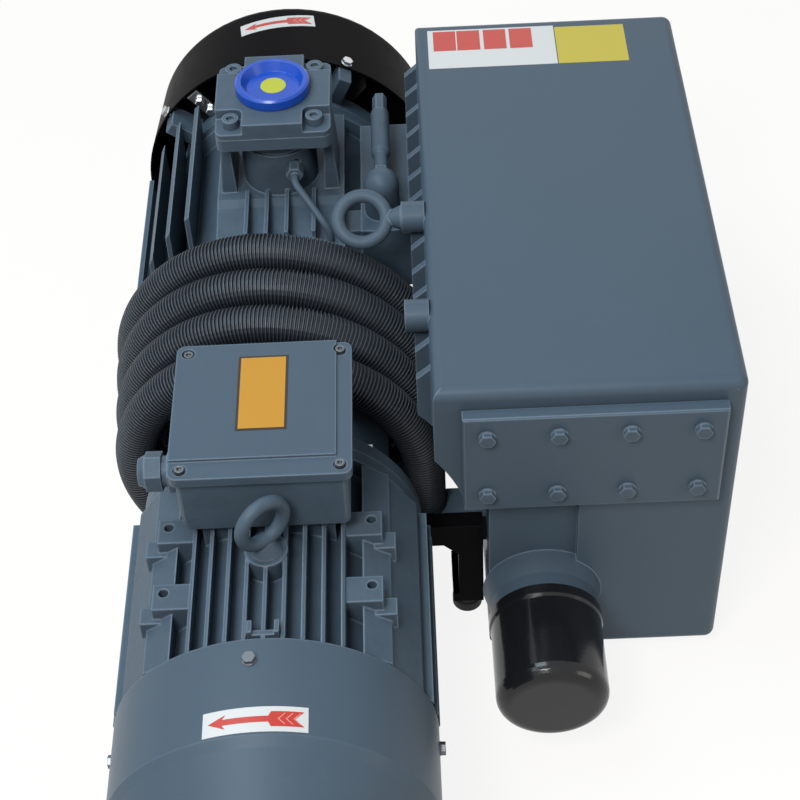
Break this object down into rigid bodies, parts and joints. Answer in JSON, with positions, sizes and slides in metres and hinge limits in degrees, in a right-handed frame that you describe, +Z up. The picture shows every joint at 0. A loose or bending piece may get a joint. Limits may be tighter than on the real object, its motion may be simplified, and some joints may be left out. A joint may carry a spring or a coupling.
{
  "type": "rotary vane vacuum pump",
  "caption": "Oil-lubricated rotary vane vacuum pump with flange motor, finned cooler coil, ribbed oil separator, spin-on filter and square inlet flange closed by a plug.",
  "frame": {"origin": "centre of the four rubber feet, on the floor plane", "axes": "+Y along the shaft from the motor fan to the pump fan, +X towards the oil separator, +Z up"},
  "size_m": [0.5995, 1.025, 0.437],
  "materials": {
    "grey_paint": "satin",
    "black_paint": "satin",
    "can_enamel": "gloss",
    "cooler_tube": "satin",
    "zinc_steel": "satin",
    "bare_steel": "satin",
    "cast_iron": "rough",
    "copper_winding": "satin",
    "fan_plastic": "matte",
    "vane_composite": "matte",
    "rubber": "matte",
    "filter_fibre": "matte",
    "sight_glass": "clear",
    "blue_plastic": "gloss"
  },
  "bodies": {
    "machine": {"ballast_pipe": "grey_paint", "cable_gland": "grey_paint", "cooler_coil": "cooler_tube", "cooler_fittings": "zinc_steel", "coupling_housing": "grey_paint", "cover_bolts": "grey_paint", "cover_gasket": "rubber", "cover_plate": "grey_paint", "exhaust_filters": "filter_fibre", "exhaust_reeds": "bare_steel", "filter_springs": "bare_steel", "foot_bolts": "zinc_steel", "foot_brackets": "black_paint", "gas_ballast_valve": "grey_paint", "housing_bolts": "zinc_steel", "inlet_flange": "grey_paint", "inlet_screen": "bare_steel", "inlet_screws": "grey_paint", "motor_bearing_outer_rings": "bare_steel", "motor_cowl_screws": "zinc_steel", "motor_end_shield": "grey_paint", "motor_fan_cowl": "grey_paint", "motor_flange_shield": "grey_paint", "motor_frame": "grey_paint", "motor_lifting_eye": "grey_paint", "non_return_spring": "bare_steel", "oil_filter_can": "can_enamel", "oil_plugs": "fan_plastic", "oil_sight_glass": "sight_glass", "pump_bearing_outer_rings": "bare_steel", "pump_cowl_screws": "zinc_steel", "pump_cylinder": "grey_paint", "pump_fan_cowl": "black_paint", "pump_front_plate": "grey_paint", "pump_rear_plate": "grey_paint", "rubber_feet": "rubber", "separator_housing": "grey_paint", "separator_lifting_eye": "grey_paint", "shaft_seals": "rubber", "stator_core": "bare_steel", "stator_windings": "copper_winding", "terminal_board": "fan_plastic", "terminal_box_base": "grey_paint", "terminal_box_gasket": "rubber", "terminal_box_lid": "grey_paint", "terminal_box_screws": "zinc_steel"},
    "motor_rotor_group": {"motor_shaft": "bare_steel", "rotor_core": "bare_steel", "motor_fan": "fan_plastic", "motor_bearing_inner_rings": "bare_steel", "coupling_motor_hub": "cast_iron", "coupling_spider": "rubber"},
    "pump_rotor_group": {"pump_rotor": "cast_iron", "vanes": "vane_composite", "coupling_pump_hub": "cast_iron", "pump_fan": "fan_plastic", "pump_bearing_inner_rings": "bare_steel"},
    "transport_plug": {"inlet_plug": "blue_plastic"},
    "non_return_valve": {"non_return_disc": "bare_steel"},
    "float_valve": {"float_lever": "bare_steel"}
  },
  "joints": [
    {"name": "motor_spin", "type": "hinge", "parent": "machine", "child": "motor_rotor_group", "pos_m": [-0.027, -0.257, 0.201], "axis": [0, 1, 0], "continuous": true},
    {"name": "pump_spin", "type": "hinge", "parent": "machine", "child": "pump_rotor_group", "pos_m": [-0.027, 0.13, 0.201], "axis": [0, 1, 0], "continuous": true},
    {"name": "inlet_plug_lift", "type": "slide", "parent": "machine", "child": "transport_plug", "axis": [0, 0, 1], "range_m": [0, 0.04]},
    {"name": "non_return_slide", "type": "slide", "parent": "machine", "child": "non_return_valve", "axis": [0, 0, -1], "range_m": [0, 0.008], "stiffness_N_per_m": 150, "springref_m": -0.02, "deforming": ["non_return_spring"]},
    {"name": "float_hinge", "type": "hinge", "parent": "machine", "child": "float_valve", "pos_m": [0.303, 0.213, 0.06], "axis": [0, 1, 0], "range_deg": [0, 20]}
  ],
  "couplings": [
    {"joint": "pump_spin", "follows": "motor_spin", "ratio": 1}
  ]
}
